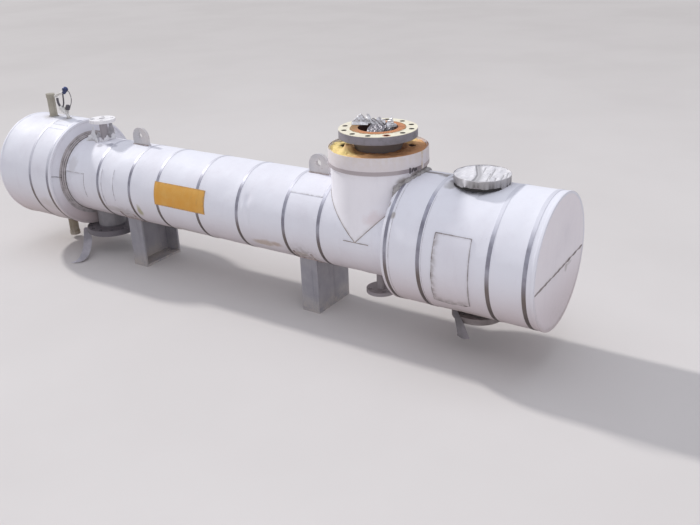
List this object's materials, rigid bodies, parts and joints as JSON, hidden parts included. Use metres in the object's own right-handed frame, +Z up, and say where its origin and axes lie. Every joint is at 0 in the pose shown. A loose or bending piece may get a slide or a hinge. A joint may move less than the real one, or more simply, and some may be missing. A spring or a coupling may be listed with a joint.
{
  "type": "insulated shell and tube heat exchanger",
  "caption": "Horizontal shell and tube heat exchanger in a banded white sheet jacket, with flanged nozzles above and below, lifting lugs and two saddles.",
  "frame": {"origin": "on the ground under the middle of the exchanger's length, below its axis", "axes": "+X along the shell's axis towards the front box over the channel, +Z up"},
  "size_m": [3.563, 0.6646, 1.0594],
  "materials": {
    "dark_steel": "matt primer on carbon steel",
    "bare_steel": "plain machined steel",
    "grey_paint": "matt grey paint",
    "weathered_flange": "white paint on the rim, rust-orange on the raised face",
    "olive_paint": "matt olive-grey paint",
    "valve_steel": "bright plated steel",
    "saddle_paint": "matt blue-grey paint, worn",
    "foam": "rigid orange-yellow insulation foam",
    "white_sheet": "satin white coated sheet, marked",
    "sealant": "matt grey sealant, dirty",
    "band_steel": "satin stainless strip",
    "orange_label": "gloss orange enamel",
    "foil": "crumpled bright foil",
    "tape": "dull grey strip"
  },
  "bodies": {
    "root": {"shell_pipe": "dark_steel", "shell_flanges": "dark_steel", "rear_bonnet": "dark_steel", "channel": "dark_steel", "channel_cover": "dark_steel", "rear_tubesheet": "bare_steel", "front_tubesheet": "bare_steel", "tubes": "bare_steel", "baffle_cage": "bare_steel", "bottom_nozzle": "grey_paint", "vent_nozzle": "grey_paint", "drain_nozzle": "grey_paint", "channel_top_nozzle": "grey_paint", "channel_bottom_nozzle": "grey_paint", "top_nozzle": "weathered_flange", "vent_stub": "olive_paint", "drain_stub": "olive_paint", "vent_valve": "valve_steel", "rear_saddle_frame": "saddle_paint", "front_saddle_frame": "saddle_paint", "lifting_lugs": "saddle_paint", "shell_foam": "foam", "tee_foam": "foam", "riser_foam": "foam", "front_box_foam": "foam", "rear_box_foam": "foam", "shell_jacket": "white_sheet", "riser_jacket": "white_sheet", "riser_collar": "white_sheet", "front_box_jacket": "white_sheet", "front_box_ring": "white_sheet", "front_box_end": "white_sheet", "rear_box_jacket": "white_sheet", "rear_box_ring": "white_sheet", "rear_box_end": "white_sheet", "vent_boot": "white_sheet", "box_patch": "white_sheet", "rear_collar": "sealant", "shell_bands": "band_steel", "riser_band": "band_steel", "front_box_bands": "band_steel", "rear_box_bands": "band_steel", "label_plate": "orange_label", "foil_cap": "foil", "torn_foil": "foil", "hanging_tapes": "tape"}
  },
  "joints": []
}
